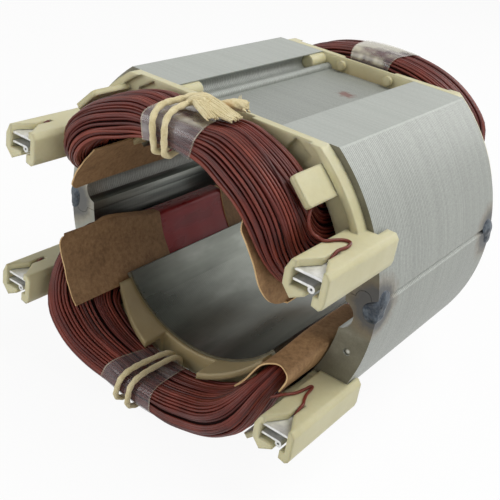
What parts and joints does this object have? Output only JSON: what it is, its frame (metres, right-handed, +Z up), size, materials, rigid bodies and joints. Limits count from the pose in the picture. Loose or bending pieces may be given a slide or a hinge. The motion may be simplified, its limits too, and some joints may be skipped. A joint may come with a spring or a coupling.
{
  "type": "wound stator",
  "caption": "Wound field stator of a brush motor: laminated round core with flats, coils round the poles, nylon end frames with terminal towers, twine ties and an open rotor bore.",
  "frame": {"origin": "on the bore's axis, halfway along the lamination stack", "axes": "+Y along the bore, away from the terminal end; +Z up through the upper pole; +X right when the terminal end is seen"},
  "size_m": [0.0916, 0.1026, 0.0807],
  "materials": {
    "core_steel": "stamped electrical steel, edges of the stack brushed",
    "weld": "blued weld bead",
    "nylon": "moulded natural nylon, slightly translucent",
    "wire": "copper wire with red-brown enamel",
    "paper": "brown slot insulation paper",
    "tin": "bright tin plate",
    "film": "clear insulation film",
    "twine": "twisted cotton lacing twine"
  },
  "bodies": {
    "root": {"core_half_upper": "core_steel", "core_half_lower": "core_steel", "weld_front_right": "weld", "weld_front_left": "weld", "weld_rear_right": "weld", "weld_rear_left": "weld", "front_frame_upper": "nylon", "front_frame_lower": "nylon", "rear_frame_upper": "nylon", "rear_frame_lower": "nylon", "field_coil_upper": "wire", "field_coil_lower": "wire", "liner_front_upper_right": "paper", "liner_front_upper_left": "paper", "liner_front_lower_right": "paper", "liner_front_lower_left": "paper", "liner_rear_upper_right": "paper", "liner_rear_upper_left": "paper", "liner_rear_lower_right": "paper", "liner_rear_lower_left": "paper", "terminal_upper_right": "tin", "terminal_upper_left": "tin", "terminal_lower_right": "tin", "terminal_lower_left": "tin", "lead_upper_right": "wire", "lead_upper_left": "wire", "lead_lower_right": "wire", "lead_lower_left": "wire", "film_front_upper": "film", "film_front_lower": "film", "film_rear_upper": "film", "film_rear_lower": "film", "tie_upper": "twine", "tie_lower": "twine"}
  },
  "joints": []
}
